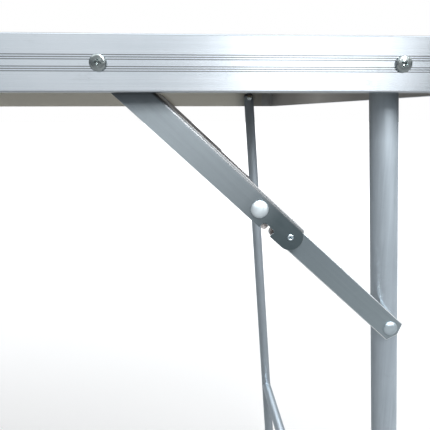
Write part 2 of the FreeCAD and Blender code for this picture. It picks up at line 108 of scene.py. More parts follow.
LEG_SCREW = {"radius": 4.3, "height": 2.4, "shank": 2.5, "length": 35.5}
STAY_SCREW = {"radius": 4.3, "height": 2.4, "shank": 2.0, "length": 11.0}
BRACE_SCREW = {"radius": 3.8, "height": 2.4, "shank": 2.0, "length": 36.0}
LEG_NUT = {"across": 8.0, "height": 3.2, "cap": 5.4}
LEG_SCREW_TURN = math.radians(28)                    # how each cross recess and nut is turned
STAY_SCREW_TURN = math.radians(8)
BRACE_SCREW_TURN = math.radians(51)
LEG_NUT_TURN = math.radians(12)
NUT_GAP = 0.3                                        # play between a leg and its cap nut
KNEE_RIVET = {"radius": 5.1, "height": 1.7, "shank": 3.0}
LEG_RIVET = {"radius": 4.4, "height": 1.5, "shank": 2.0}
LEG_RIVET_END = 19.2                                 # depth of its tail
LEG_RIVET_TURN = 0.4                                 # radians
LOCK_PIP = {"radius": 1.9, "height": 0.7, "shank": 1.5}

FOOT_RADIUS = 8.3
FOOT_HEIGHT = 9.0
FOOT_PLUG = 22.0                                     # how far the foot's stem runs up the tube
FOOT_RIB = 0.4                                       # depth of the grooves between its ribs
FOOT_RIBS = 3
RIB_PITCH = 2.0
WELD_SIZE = 0.80                                     # radius of the weld bead
WELD_RIPPLE = 0.10                                   # how much that varies along the bead
WELD_INSET = 0.45                                    # its centre, inside the leg's surface
WELD_CLEAR = 1.0                                     # its least distance behind the leg's axis

# ---- where painted shade and light go on the metal, and other tones, in mm -----------------------
LEG_SIDE = 3.0                                       # either way of a leg's axis
INNER_LEG_SHADE = (120.0, 25.0)                        # painted shade below the rail, on a leg's inner side
OUTER_LEG_SHADE = (26.0, 0.0)                          # painted shade below the rail, on its outer side
ARM_SHADE_UNDER_RAIL = (11.0, 0.0)                            # painted shade below the rail, on the upper arms
NOSE_SHADE = (-10.0, 12.0)                           # painted shade, along the upper arm from the knee
HIDDEN_LIGHT_SPAN = (18.0, 17.0)                          # painted light, along the lower arm behind the upper one
BEND_START = (2.0, 1.4)                              # painted shade on the bend, below the upper arm's bent edge
# the painted highlight on the flange, beyond the bend
BEND_END = (0.6, 0.2)
IN_GROOVE = (0.1, 0.25)                              # behind a rail's face, where painted shade darkens the grooves
OUTER_SIDE = (1.0, 0.5)                              # and the depths at which that fades out
RAIL_INSIDE = (6.0, 7.5)                             # behind its face, where its inner side starts
COAT = (0.4, 0.3)                                    # below the board's top, where its coat begins

# painted shade in a rail's grooves
GROOVE_SHADE = (0.10, 0.11, 0.12)
# painted shade on the upper arm's bend
BEND_SHADE_TONE = (0.13, 0.135, 0.14)
# painted highlight on its flange
FLANGE_HIGHLIGHT_TONE = (0.52, 0.58, 0.62)
# painted shade just below the rail
UNDER_RAIL_SHADE_TONE = (0.05, 0.055, 0.06)
# painted light on the lower arm, where the upper one shades it
HIDDEN_LIGHT_TONE = (0.82, 0.77, 0.75)
ARM_INSIDE_TONE = (0.44, 0.43, 0.43)
# the arms' cut edges: bare steel, with a painted highlight
ARM_EDGE_HIGHLIGHT_TONE = (0.62, 0.68, 0.72)


# ---- materials -----------------------------------------------------------------------------------
class Nodes:
    """Short names for building one material's node tree."""

    def __init__(self, name):
        self.material = bpy.data.materials.new(name)
        self.material.use_nodes = True
        self.tree = self.material.node_tree
        self.tree.nodes.clear()
        self.output = self.tree.nodes.new("ShaderNodeOutputMaterial")
        self.shader = self.tree.nodes.new("ShaderNodeBsdfPrincipled")
        self.link(self.shader.outputs["BSDF"], self.output.inputs["Surface"])
        self.place = self.tree.nodes.new("ShaderNodeTexCoord").outputs["Object"]

    def link(self, source, target):
        self.tree.links.new(source, target)

    def set(self, **values):
        for key, value in values.items():
            self.shader.inputs[key.replace("_", " ")].default_value = value

    def stretched(self, scale):
        node = self.tree.nodes.new("ShaderNodeMapping")
        node.inputs["Scale"].default_value = scale
        self.link(self.place, node.inputs["Vector"])
        return node.outputs["Vector"]

    def noise(self, scale, detail=4.0, rough=0.6, place=None, distortion=0.0):
        node = self.tree.nodes.new("ShaderNodeTexNoise")
        node.inputs["Scale"].default_value = scale
        node.inputs["Detail"].default_value = detail
        node.inputs["Roughness"].default_value = rough
        node.inputs["Distortion"].default_value = distortion
        self.link(place or self.place, node.inputs["Vector"])
        return node.outputs["Fac"]

    def along(self, axis):
        """A point's X, Y or Z on the piece at rest."""
        split = self.tree.nodes.new("ShaderNodeSeparateXYZ")
        self.link(self.place, split.inputs["Vector"])
        return split.outputs[axis]

    def from_middle(self, axis):
        """A point's distance from the table's middle along one axis."""
        return self.math("ABSOLUTE", self.along(axis), 0.0)

    def ramp(self, value, low, high, start=0.0, end=1.0):
        """Map a value between two limits onto a new range."""
        node = self.tree.nodes.new("ShaderNodeMapRange")
        node.inputs["From Min"].default_value = low
        node.inputs["From Max"].default_value = high
        node.inputs["To Min"].default_value = start
        node.inputs["To Max"].default_value = end
        self.link(value, node.inputs["Value"])
        return node.outputs["Result"]

    def depth_ramp(self, value, face, depths, start=0.0, end=1.0):
        """Map a place onto a new range, from one depth in mm behind a face to another."""
        low, high = [face - depth * MM for depth in depths]
        return self.ramp(value, low, high, start, end)

    def math(self, operation, a, b):
        node = self.tree.nodes.new("ShaderNodeMath")
        node.operation = operation
        for socket, value in zip(node.inputs, (a, b)):
            if isinstance(value, (int, float)):
                socket.default_value = value
            else:
                self.link(value, socket)
        return node.outputs["Value"]

    def blend(self, factor, a, b):
        """Mix two colours, each a tuple or a socket."""
        node = self.tree.nodes.new("ShaderNodeMix")
        node.data_type = "RGBA"
        self.link(factor, node.inputs["Factor"])
        sockets = [s for s in node.inputs if s.type == "RGBA"]
        for socket, value in zip(sockets, (a, b)):
            if isinstance(value, tuple):
                socket.default_value = (*value, 1.0)
            else:
                self.link(value, socket)
        return [s for s in node.outputs if s.type == "RGBA"][0]

    def colour(self, value):
        self.link(value, self.shader.inputs["Base Color"])

    def roughness(self, value):
        self.link(value, self.shader.inputs["Roughness"])

    def bump(self, height, distance, strength=1.0):
        node = self.tree.nodes.new("ShaderNodeBump")
        node.inputs["Strength"].default_value = strength
        node.inputs["Distance"].default_value = distance
        self.link(height, node.inputs["Height"])
        self.link(node.outputs["Normal"], self.shader.inputs["Normal"])

    def edge(self, width):
        """1 on the piece's edges and 0 on its flats."""
        bevel = self.tree.nodes.new("ShaderNodeBevel")
        bevel.samples = 4
        bevel.inputs["Radius"].default_value = width
        geometry = self.tree.nodes.new("ShaderNodeNewGeometry")
        dot = self.tree.nodes.new("ShaderNodeVectorMath")
        dot.operation = "DOT_PRODUCT"
        self.link(bevel.outputs["Normal"], dot.inputs[0])
        self.link(geometry.outputs["Normal"], dot.inputs[1])
        return self.ramp(dot.outputs["Value"], 0.995, 0.8)


def groove_shade(m, across, face):
    """1 in the fine grooves of a rail's outer face, where painted shade darkens them."""
    out = m.from_middle(across)
    sunk = m.depth_ramp(out, face, IN_GROOVE)
    outside = m.depth_ramp(out, face, OUTER_SIDE)
    return m.math("MULTIPLY", sunk, outside)


def inner_faces(m, across, face):
    """1 on the mill-finished inner side of a rail."""
    return m.depth_ramp(m.from_middle(across), face, RAIL_INSIDE)


def shade_towards_ends(m, along, start, stop, amount):
    """0 along a rail's middle, rising towards both of its ends, for painted shade near the corners."""
    return m.ramp(m.from_middle(along), start, stop, 0.0, amount)


def leg_painted_shade(m):
    """Painted shade on a leg: on its inner side, and most of all on the last part below the table top."""
    axis = -FRONT - TUBE_AXIS * MM
    within = m.depth_ramp(m.from_middle("Y"), axis, (-LEG_SIDE, LEG_SIDE))
    height = m.along("Z")
    inner = m.depth_ramp(height, RAIL_LOW.z, INNER_LEG_SHADE, 0.26, 0.82)
    outer = m.depth_ramp(height, RAIL_LOW.z, OUTER_LEG_SHADE, 0.0, 0.55)
    return m.math("ADD", m.math("MULTIPLY", within, inner),
                  m.math("MULTIPLY", m.math("SUBTRACT", 1.0, within), outer))


def drawn_metal(name, light, dark, rough, along, grooved=None, inner=None, ends=None, shade_mask=None):
    """Metal with fine lines along one axis, soft clouds and a few darker rubs.

    A rail's face is grooved, with painted shade in its grooves, and its inner side has its own tone.
    Painted shade darkens that towards the rail's ends: `ends` says from where to where, in metres
    from the table's middle, and by how much.
    """
    m = Nodes(name)
    fine = [900.0, 900.0, 900.0]
    fine["XYZ".index(along)] = 6.0
    lines = m.noise(1.0, 3.0, 0.7, m.stretched(fine))
    clouds = m.noise(22.0, 5.0, 0.6)
    rubs = m.ramp(m.noise(70.0, 6.0, 0.75, distortion=0.4), 0.58, 0.76)
    tone = m.math("ADD", m.math("MULTIPLY", lines, 0.55), m.math("MULTIPLY", clouds, 0.45))
    tone = m.ramp(tone, 0.32, 0.68)
    base = m.blend(tone, dark, light)
    worn = tuple(0.82 * c for c in dark)
    base = m.blend(m.math("MULTIPLY", rubs, 0.35), base, worn)
    raw = None
    if grooved:
        raw = inner_faces(m, *grooved)
        base = m.blend(raw, base, inner)
        # painted shade on the inner side, darker towards the rail's ends
        shaded_ends = m.math("MULTIPLY", raw, shade_towards_ends(m, along, *ends))
        base = m.blend(shaded_ends, base, tuple(0.1 * c for c in inner))
        # painted shade in the rail's grooves
        base = m.blend(m.math("MULTIPLY", groove_shade(m, *grooved), 0.70), base, GROOVE_SHADE)
    # painted shade, where a piece gives a mask for it
    if shade_mask:
        base = m.blend(shade_mask(m), base, tuple(0.30 * c for c in dark))
    m.colour(base)
    spread = m.math("ADD", m.math("MULTIPLY", lines, 0.14), m.math("MULTIPLY", clouds, 0.08))
    spread = m.math("ADD", m.math("ADD", spread, rough - 0.11), m.math("MULTIPLY", rubs, 0.08))
    m.roughness(m.math("ADD", spread, m.math("MULTIPLY", raw, 0.3)) if raw else spread)
    m.bump(lines, 0.00003, 0.35)
    m.set(Metallic=1.0, Anisotropic=0.3)
    return m.material


def plated_steel(name, light, dark, rough, scale=60.0):
    """Zinc plated sheet: mottled bluish grey, fine handling marks, worn edges with a painted highlight."""
    m = Nodes(name)
    mottle = m.noise(scale, 6.0, 0.62, distortion=0.3)
    grain = m.noise(scale * 40, 2.0, 0.5)
    marks = m.ramp(m.noise(1.0, 4.0, 0.7, m.stretched((300.0, 300.0, 1200.0))), 0.6, 0.72)
    base = m.blend(m.ramp(mottle, 0.3, 0.7), dark, light)
    edge = m.edge(0.4 * MM)
    # edges: wear, with a painted highlight
    bright = tuple(min(1.0, 1.5 * c) for c in light)
    base = m.blend(m.math("MULTIPLY", edge, 0.6), base, bright)
    m.colour(base)
    m.roughness(m.math("ADD", m.math("MULTIPLY", mottle, 0.16),
                       m.math("ADD", m.math("MULTIPLY", marks, 0.1), rough - 0.1)))
    m.bump(m.math("ADD", grain, m.math("MULTIPLY", marks, 0.6)), 0.00002, 0.3)
    m.set(Metallic=1.0)
    return m.material


def stay_steel(name, start, middle, end, depth, nose=None):
    """Zinc plated strip, drawn along the stay; its tone shifts from one end to the other as painted
    light and shade.

    The upper arm has painted shade on its nose, its bend and just below the rail, and a painted
    highlight on its flange; the lower arm has painted light where the upper one hides it.
    """
    m = Nodes(name)
    height = m.along("Z")
    x = m.math("SUBTRACT", m.from_middle("X"), KNEE.x)
    z = m.math("SUBTRACT", height, KNEE.z)
    cos, sin = math.cos(SLOPE), math.sin(SLOPE)
    run = m.math("SUBTRACT", m.math("MULTIPLY", x, cos), m.math("MULTIPLY", z, sin))
    rise = m.math("ADD", m.math("MULTIPLY", x, sin), m.math("MULTIPLY", z, cos))
    gather = m.tree.nodes.new("ShaderNodeCombineXYZ")
    m.link(m.math("MULTIPLY", run, 9.0), gather.inputs["X"])
    m.link(m.math("MULTIPLY", rise, 420.0), gather.inputs["Y"])
    m.link(m.along("Y"), gather.inputs["Z"])
    lines = m.noise(1.0, 4.0, 0.65, gather.outputs["Vector"])
    mottle = m.noise(75.0, 6.0, 0.62, distortion=0.3)
    grain = m.noise(2400.0, 2.0, 0.5)
    # painted light and shade along each arm, matched to how its parts catch the light
    base = m.blend(m.ramp(run, -ARM * MM, 0.0), start, middle)
    base = m.blend(m.ramp(run, 0.0, ARM * MM), base, end)
    if nose:
        # painted shade on the nose
        base = m.blend(m.ramp(run, *[MM * end for end in NOSE_SHADE]), base, nose)
        edge = UPPER_EDGE * MM
        # painted shade on the bend, then a painted highlight on the flange
        base = m.blend(m.depth_ramp(rise, edge, BEND_START), base, BEND_SHADE_TONE)
        base = m.blend(m.depth_ramp(rise, edge, BEND_END), base, FLANGE_HIGHLIGHT_TONE)
        # painted shade where the upper arm comes out below the rail
        shade_under_rail = m.depth_ramp(height, RAIL_LOW.z, ARM_SHADE_UNDER_RAIL, 0.0, 0.8)
        base = m.blend(shade_under_rail, base, UNDER_RAIL_SHADE_TONE)
    else:
        # painted light where the upper arm hides and shades the lower one
        base = m.blend(m.ramp(run, *[MM * end for end in HIDDEN_LIGHT_SPAN]), base, HIDDEN_LIGHT_TONE)
    face = -FRONT - depth * MM
    inside = m.depth_ramp(m.from_middle("Y"), face, (0.6 * SHEET, 0.8 * SHEET))
    base = m.blend(inside, base, ARM_INSIDE_TONE)
    streaks = m.math("ADD", m.math("MULTIPLY", lines, 0.6), m.math("MULTIPLY", mottle, 0.4))
    shade = m.ramp(streaks, 0.35, 0.65, 0.0, 0.34 if nose else 0.2)
    base = m.blend(shade, base, tuple(0.45 * c for c in middle))
    # brighter cut edges: bare steel, with a painted highlight
    base = m.blend(m.math("MULTIPLY", m.edge(0.4 * MM), 0.45), base, ARM_EDGE_HIGHLIGHT_TONE)
    m.colour(base)
    facing = m.tree.nodes.new("ShaderNodeSeparateXYZ")
    m.link(m.tree.nodes.new("ShaderNodeNewGeometry").outputs["Normal"], facing.inputs["Vector"])
    cut = m.ramp(m.math("ABSOLUTE", facing.outputs["Y"], 0.0), 0.8, 0.4)
    spread = m.math("ADD", m.math("MULTIPLY", mottle, 0.12), m.math("MULTIPLY", lines, 0.10))
    spread = m.math("ADD", spread, m.math("MULTIPLY", cut, 0.5))
    m.roughness(m.math("ADD", spread, 0.33))
    m.bump(m.math("ADD", grain, lines), 0.00002, 0.3)
    m.set(Metallic=1.0)
    return m.material


def moulded_plastic(name, light, dark, rough):
    """Moulded plastic or rubber: fine spark-eroded grain, pale scuffs on the edges."""
    m = Nodes(name)
    grain = m.noise(2600.0, 3.0, 0.6)
    clouds = m.noise(45.0, 4.0, 0.6)
    base = m.blend(m.ramp(clouds, 0.35, 0.65), dark, light)
    scuff = m.math("MULTIPLY", m.edge(0.6 * MM), m.ramp(m.noise(400.0, 4.0, 0.7), 0.4, 0.6))
    pale = tuple(min(1.0, c * 2.2 + 0.05) for c in light)
    base = m.blend(m.math("MULTIPLY", scuff, 0.5), base, pale)
    m.colour(base)
    m.roughness(m.math("ADD", m.math("MULTIPLY", grain, 0.14), rough - 0.07))
    m.bump(grain, 0.00005, 0.5)
    m.set(Specular_IOR_Level=0.45)
    return m.material


def board_material():
    """Pale coated top; brown fibreboard below and at the edge."""
    m = Nodes("board_coated")
    top = m.depth_ramp(m.along("Z"), RAIL_HIGH.z, COAT)
    fibre = m.noise(1.0, 5.0, 0.7, m.stretched((420.0, 420.0, 1600.0)))
    clumps = m.noise(55.0, 5.0, 0.65, distortion=0.5)
    core = m.blend(m.ramp(fibre, 0.35, 0.65), (0.17, 0.125, 0.08), (0.32, 0.25, 0.17))
    core = m.blend(m.math("MULTIPLY", m.ramp(clumps, 0.45, 0.7), 0.5), core, (0.22, 0.15, 0.095))
    speckle = m.noise(700.0, 3.0, 0.6)
    coat = m.blend(m.ramp(speckle, 0.35, 0.65), (0.66, 0.65, 0.61), (0.74, 0.73, 0.70))
    haze = m.ramp(m.noise(5.0, 4.0, 0.6), 0.35, 0.7)
    coat = m.blend(m.math("MULTIPLY", haze, 0.3), coat, (0.62, 0.61, 0.57))
    m.colour(m.blend(top, core, coat))
    gloss = m.ramp(top, 0.0, 1.0, 0.72, 0.38)
    m.roughness(m.math("ADD", gloss, m.math("MULTIPLY", speckle, 0.1)))
    m.bump(m.math("ADD", m.math("MULTIPLY", speckle, 0.3), fibre), 0.00004, 0.4)
    return m.material


def make_materials():
    """One material for each slot of the record; lines run along the piece they are on."""
    rail_light = (0.83, 0.89, 0.95)
    rail_dark = (0.68, 0.75, 0.81)
    tube_light = (0.600, 0.675, 0.735)
    tube_dark = (0.49, 0.56, 0.62)
    return {
        # each rail's inner tone is its mill finish, lightened as painted light where the table top shades it; the
        # long rails' tone is tinted warm as a painted reflection of the brown board
        "rail_x": drawn_metal("rail_aluminium_long", rail_light, rail_dark, 0.22, "X",
                              grooved=("Y", -FRONT), inner=(0.86, 0.865, 0.80),
                              ends=(0.828, 0.862, 0.63)),
        "rail_y": drawn_metal("rail_aluminium_end", rail_light, rail_dark, 0.30, "Y",
                              grooved=("X", END), inner=(0.76, 0.77, 0.76),
                              ends=(0.0, 0.12, 0.38)),
        "tube_z": drawn_metal("leg_tube_satin", tube_light, tube_dark, 0.50, "Z", shade_mask=leg_painted_shade),
        "tube_y": drawn_metal("crossbar_satin", tube_light, tube_dark, 0.50, "Y"),
        "stay": plated_steel("stay_steel_zinc", (0.200, 0.235, 0.255), (0.150, 0.180, 0.200), 0.42),
        # the arms' tones along their length, and the upper arm's nose tone, are painted light and shade
        "stay_upper": stay_steel("stay_steel_upper", (0.44, 0.50, 0.54), (0.26, 0.30, 0.325),
                                 (0.26, 0.30, 0.325), UPPER_FACE, (0.095, 0.125, 0.137)),
        "stay_lower": stay_steel("stay_steel_lower", (0.19, 0.23, 0.255), (0.19, 0.23, 0.255),
                                 (0.34, 0.40, 0.43), LOWER_FACE),
        "screw": plated_steel("screw_zinc", (0.46, 0.51, 0.51), (0.32, 0.36, 0.36), 0.26, 260.0),
        # the rounded cut edges of the arms: bare steel, lightened as a painted highlight
        "cut_edge_highlight": plated_steel("stay_steel_edge", (0.96, 0.99, 1.00), (0.84, 0.90, 0.93), 0.40,
                                 160.0),
        "rivet": plated_steel("rivet_zinc", (0.72, 0.79, 0.83), (0.61, 0.68, 0.72), 0.50, 160.0),
        "rivet_dull": plated_steel("rivet_dull_zinc", (0.60, 0.69, 0.74), (0.48, 0.56, 0.61), 0.42,
                                   200.0),
        # the pip's pale base is painted light where the upper arm shades it, over its own brownish grey
        "pip": plated_steel("lock_pip_lightened", (0.93, 0.90, 0.89), (0.82, 0.77, 0.75), 0.70, 200.0),
        "weld": plated_steel("weld_seam", (0.42, 0.45, 0.47), (0.26, 0.27, 0.28), 0.50, 300.0),
        "bright": plated_steel("fastener_zinc", (0.74, 0.75, 0.76), (0.60, 0.62, 0.64), 0.26,
                               220.0),
        "black": moulded_plastic("black_plastic", (0.035, 0.036, 0.04), (0.022, 0.022, 0.026),
                                 0.52),
        "grey": moulded_plastic("grey_plastic", (0.36, 0.37, 0.375), (0.29, 0.30, 0.305), 0.50),
        "nylon": moulded_plastic("natural_nylon", (0.62, 0.61, 0.56), (0.52, 0.51, 0.47), 0.45),
        "rubber": moulded_plastic("foot_rubber", (0.05, 0.05, 0.052), (0.03, 0.03, 0.032), 0.72),
        "board": board_material(),
    }


MATERIALS = make_materials()
SLOTS = {row["node"]: row["material_slot"] for row in frame["record"]["subparts"]}


def finish_for(node):
    """The material for a CAD node, from its slot and the way the piece runs."""
    slot = SLOTS[node]
    if slot == "rail_aluminium":
        return MATERIALS["rail_x" if node in ("front_rail", "back_rail") else "rail_y"]
    if slot == "leg_tube":
        return MATERIALS["tube_y" if node.endswith("crossbar") else "tube_z"]
    names = {"board": "board", "black_plastic": "black", "grey_plastic": "grey", "nylon": "nylon",
             "foot_rubber": "rubber", "stay_steel": "stay", "bright_fasteners": "bright"}
    return MATERIALS[names[slot]]


for node, piece in frame["nodes"].items():
    piece.data.materials.clear()
    piece.data.materials.append(finish_for(node))


# ---- mesh tools ----------------------------------------------------------------------------------
SIDES = [("right", 1), ("left", -1)]
QUARTERS = [(end + "_" + side, across, along)
            for end, along in (("front", 1), ("back", -1)) for side, across in SIDES]


def arc(centre, radius, start, end, steps):
    """Points on an arc, from one angle in degrees to another."""
    angles = [math.radians(start + (end - start) * i / steps) for i in range(steps + 1)]
    return [(centre[0] + radius * math.cos(a), centre[1] + radius * math.sin(a)) for a in angles]


def turned(profile, segments=64):
    """A closed piece turned about the Y axis, from (radius, depth) points in mm."""
    bm = bmesh.new()
    rings = []
    for radius, depth in profile:
        count = 1 if radius < 1e-6 else segments
        turns = [2 * math.pi * k / segments for k in range(count)]
        rings.append([bm.verts.new((radius * math.cos(a), depth, radius * math.sin(a)))
                      for a in turns])
    for near, far in zip(rings, rings[1:]):
        for k in range(segments):
            ring = [near[k % len(near)], near[(k + 1) % len(near)],
                    far[(k + 1) % len(far)], far[k % len(far)]]
            bm.faces.new(list(dict.fromkeys(ring)))
    bmesh.ops.recalc_face_normals(bm, faces=bm.faces)
    return bm


def prism(outline, start, end):
    """A closed prism along Y from an outline of (x, z) points in mm."""
    bm = bmesh.new()
    near = [bm.verts.new((x, start, z)) for x, z in outline]
    far = [bm.verts.new((x, end, z)) for x, z in outline]
    bm.faces.new(near)
    bm.faces.new(far)
    count = len(outline)
    for k in range(count):
        bm.faces.new((near[k], near[(k + 1) % count], far[(k + 1) % count], far[k]))
    bmesh.ops.recalc_face_normals(bm, faces=bm.faces)
    return bm


def joined(parts):
    """One bmesh from several, which are used up."""
    whole = bmesh.new()
    for part in parts:
        mesh = bpy.data.meshes.new("part")
        part.to_mesh(mesh)
        part.free()
        whole.from_mesh(mesh)
        bpy.data.meshes.remove(mesh)
    return whole


def combined(bm, other, operation):
    """The boolean of two closed bmeshes, which are used up."""
    objects = []
    for part in (bm, other):
        mesh = bpy.data.meshes.new("part")
        part.to_mesh(mesh)
        part.free()
        objects.append(bpy.data.objects.new("part", mesh))
        bpy.context.scene.collection.objects.link(objects[-1])
    cut = objects[0].modifiers.new("cut", "BOOLEAN")
    cut.operation = operation
    cut.solver = "EXACT"
    cut.use_self = True
    cut.object = objects[1]
    graph = bpy.context.evaluated_depsgraph_get()
    result = bmesh.new()
    result.from_object(objects[0], graph)
    for one in objects:
        mesh = one.data
        bpy.data.objects.remove(one)
        bpy.data.meshes.remove(mesh)
    return result


def moved(bm, matrix):
    bm.transform(matrix)
    return bm


def put(bm, place, turn):
    """A piece drawn in mm about its own axis, turned and put at a pivot in the rail's face."""
    matrix = Matrix.Translation((place.x, FRONT, place.z)) @ Matrix.Scale(MM, 4)
    return moved(bm, matrix @ Matrix.Rotation(turn, 4, "Y"))


def on_stay(bm):
    """A piece drawn in mm about the knee, with +X along the straight stay, put in its place."""
    turn = Matrix.Rotation(SLOPE, 4, "Y")
    return moved(bm, Matrix.Translation((KNEE.x, FRONT, KNEE.z)) @ turn @ Matrix.Scale(MM, 4))


def mirrored(bm, across, along):
    """A copy of a front right piece in another quarter of the table."""
    copy = bm.copy()
    copy.transform(Matrix.Diagonal((across, along, 1, 1)))
    if across * along < 0:
        bmesh.ops.reverse_faces(copy, faces=copy.faces)
    return copy


def everywhere(first):
    """A front right piece, which is used up, in all four quarters."""
    parts = [mirrored(first, across, along) for _, across, along in QUARTERS]
    first.free()
    return joined(parts)


def on_both_legs(first, across):
    """A piece of the front leg on both legs of one side's frame."""
    return joined([mirrored(first, across, 1), mirrored(first, across, -1)])


def add_piece(name, bm, body, materials, nodes=(), sharp=35.0):
    """Put a finished mesh in the scene, on its body, in place of the CAD nodes it stands for."""
    mesh = bpy.data.meshes.new(name)
    bm.to_mesh(mesh)
    bm.free()
    mesh.polygons.foreach_set("use_smooth", [True] * len(mesh.polygons))
    mesh.set_sharp_from_angle(angle=math.radians(sharp))
    for material in materials:
        mesh.materials.append(material)
    piece = bpy.data.objects.new(name, mesh)
    bpy.context.scene.collection.objects.link(piece)
    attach(piece, body)
    if nodes:
        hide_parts(*nodes)
    return piece


def thicken(piece):
    """Give a sheet its thickness and round its cut edges, which take the second material."""
    thick = piece.modifiers.new("sheet", "SOLIDIFY")
    thick.thickness = SHEET * MM
    thick.offset = -1.0
    thick.use_even_offset = True
    edges = piece.modifiers.new("edges", "BEVEL")
    edges.width = EDGE_ROUND * MM
    edges.segments = 3
    edges.limit_method = "ANGLE"
    edges.angle_limit = math.radians(50)
    edges.harden_normals = True
    edges.material = 1


# ---- screws, nuts and rivets ---------------------------------------------------------------------
def pan_head(radius, height, shank, length):
    """A cross-recessed pan-head screw along +Y: a low crown, a rolled rim and a plain shank."""
    rim = 0.55 * height
    fall = 0.035          # of the crown from its middle, per square mm
    crown = [(r, -height + fall * r * r) for r in (0.0, 0.5, 1.1, 1.7, 2.3)]
    shoulder = arc((radius - rim, -height + 0.25 + rim), rim, -90, 0, 8)
    foot = [(radius, -0.12), (radius - 0.12, 0.0), (shank, 0.0), (shank, length - 0.5),
            (shank - 0.5, length), (0.0, length)]
    return cross_recessed(turned(crown + shoulder + foot), radius, height)


def cross_recessed(head, radius, height):
    """Cut four tapered wings and the cone between them into a screw head."""
    depth = 0.62 * height
    reach, pinch = 0.56 * radius, 0.2 * radius
    wide, narrow = 0.105 * radius, 0.07 * radius
    cutters = [turned([(0.0, -height - 0.4), (0.31 * radius, -height - 0.4),
                       (0.12 * radius, -height + depth), (0.0, -height + depth + 0.2)], 24)]
    for quarter in (0, 90):
        wing = bmesh.new()
        near = [wing.verts.new((x, -height - 0.4, z)) for x, z in
                ((-reach, -wide), (reach, -wide), (reach, wide), (-reach, wide))]
        far = [wing.verts.new((x, -height + depth, z)) for x, z in
               ((-pinch, -narrow), (pinch, -narrow), (pinch, narrow), (-pinch, narrow))]
        wing.faces.new(near)
        wing.faces.new(far)
        for k in range(4):
            wing.faces.new((near[k], near[(k + 1) % 4], far[(k + 1) % 4], far[k]))
        bmesh.ops.recalc_face_normals(wing, faces=wing.faces)
        cutters.append(moved(wing, Matrix.Rotation(math.radians(quarter), 4, "Y")))
    return combined(head, joined(cutters), "DIFFERENCE")


def domed(radius, height, base, shank, shank_end, collar=()):
    """A rivet along +Y: a crown that is flat in the middle and rolls over at its rim."""
    steps = 14
    flatness = 2.4        # 2 would make it half an ellipse
    spread = [radius * math.sin(math.pi / 2 * i / steps) for i in range(steps)]
    crown = [(r, base - height * math.sqrt(1 - (r / radius) ** flatness)) for r in spread]
    tail = [(radius, base - 0.05), (radius - 0.1, base), (shank, base)]
    tail += list(collar) + [(shank, shank_end), (0.0, shank_end)]
    return turned(crown + tail)


def cap_nut(across, height, cap, start):
    """A hexagonal nut with chamfered corners and a domed cap, facing +Y."""
    corner = across / math.sqrt(3)
    hexagon = [(corner * math.cos(math.radians(60 * k)), corner * math.sin(math.radians(60 * k)))
               for k in range(6)]
    body = prism(hexagon, start, start + height)
    chamfer = turned([(0, start), (0.47 * across, start), (1.03 * corner, start + 0.35),
                      (1.03 * corner, start + height - 0.45), (0.47 * across, start + height),
                      (0, start + height)])
    body = combined(body, chamfer, "INTERSECT")
    base = 0.43 * across
    rise = cap - height
    angles = [math.radians(90 * k / 10) for k in range(10)]
    dome = [(base * math.cos(a), start + height + rise * math.sin(a)) for a in angles]
    sunk = start + height - 0.3
    return joined([body, turned([(0, sunk), (base, sunk)] + dome + [(0, start + cap)])])


def make_screws():
    low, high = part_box("right_brace")
    nut = cap_nut(start=TUBE_AXIS + TUBE_RADIUS + NUT_GAP, **LEG_NUT)
    fasteners = {
        "leg_pivot_screws": put(pan_head(**LEG_SCREW), PIVOT, LEG_SCREW_TURN),
        "stay_pivot_screws": put(pan_head(**STAY_SCREW), HINGE, STAY_SCREW_TURN),
        "brace_screws": put(pan_head(**BRACE_SCREW), (low + high) / 2, BRACE_SCREW_TURN),
        "leg_pivot_nuts": put(nut, PIVOT, LEG_NUT_TURN),
    }
    for node, first in fasteners.items():
        add_piece(node + "_finished", everywhere(first), "table_top",
                  [MATERIALS["screw"]], [node])


def knee_rivet():
    """A domed rivet with a collar that keeps the two arms apart."""
    back, far = UPPER_FACE + SHEET, LOWER_FACE
    collar = [(3.0, back), (4.3, back), (4.5, back + 0.2), (4.5, far - 0.4), (4.3, far - 0.2)]
    return domed(base=UPPER_FACE, shank_end=far - 0.2, collar=collar, **KNEE_RIVET)


def nose_eyelet():
    """A hollow rivet: a rolled lip before the sheet, a barrel through it and a foot behind it."""
    front, back = UPPER_FACE, UPPER_FACE + SHEET
    barrel = [(0.0, back - 0.2), (0.66, back - 0.2), (0.66, front - 0.1)]
    lip = arc((1.25, front - 0.12), 0.58, 180, 335, 8)[1:]
    foot = [(1.9, front), (1.2, front), (1.2, back), (1.9, back), (1.9, back + 0.5),
            (1.5, back + 0.7), (0.0, back + 0.7)]
    return moved(turned(barrel + lip + foot, 40), Matrix.Translation((NOSE, 0, 0)))


def make_rivets():
    knee, eyelet = on_stay(knee_rivet()), on_stay(nose_eyelet())
    for quarter, across, along in QUARTERS:
        body = quarter + "_upper_arm"
        add_piece(quarter + "_knee_rivet_finished", mirrored(knee, across, along), body,
                  [MATERIALS["rivet"]], [quarter + "_knee_rivet"])
        add_piece(quarter + "_nose_rivet_finished", mirrored(eyelet, across, along), body,
                  [MATERIALS["rivet_dull"]], [quarter + "_nose_rivet"])
    rivet = domed(base=LOWER_FACE - 0.05, shank_end=LEG_RIVET_END, **LEG_RIVET)
    rivet = put(rivet, LEG_END, LEG_RIVET_TURN)
    for side, across in SIDES:
        add_piece(side + "_leg_rivets_finished", on_both_legs(rivet, across), side + "_leg_frame",
                  [MATERIALS["rivet_dull"]], [side + "_leg_rivets"])
    for used in (knee, eyelet, rivet):
        used.free()


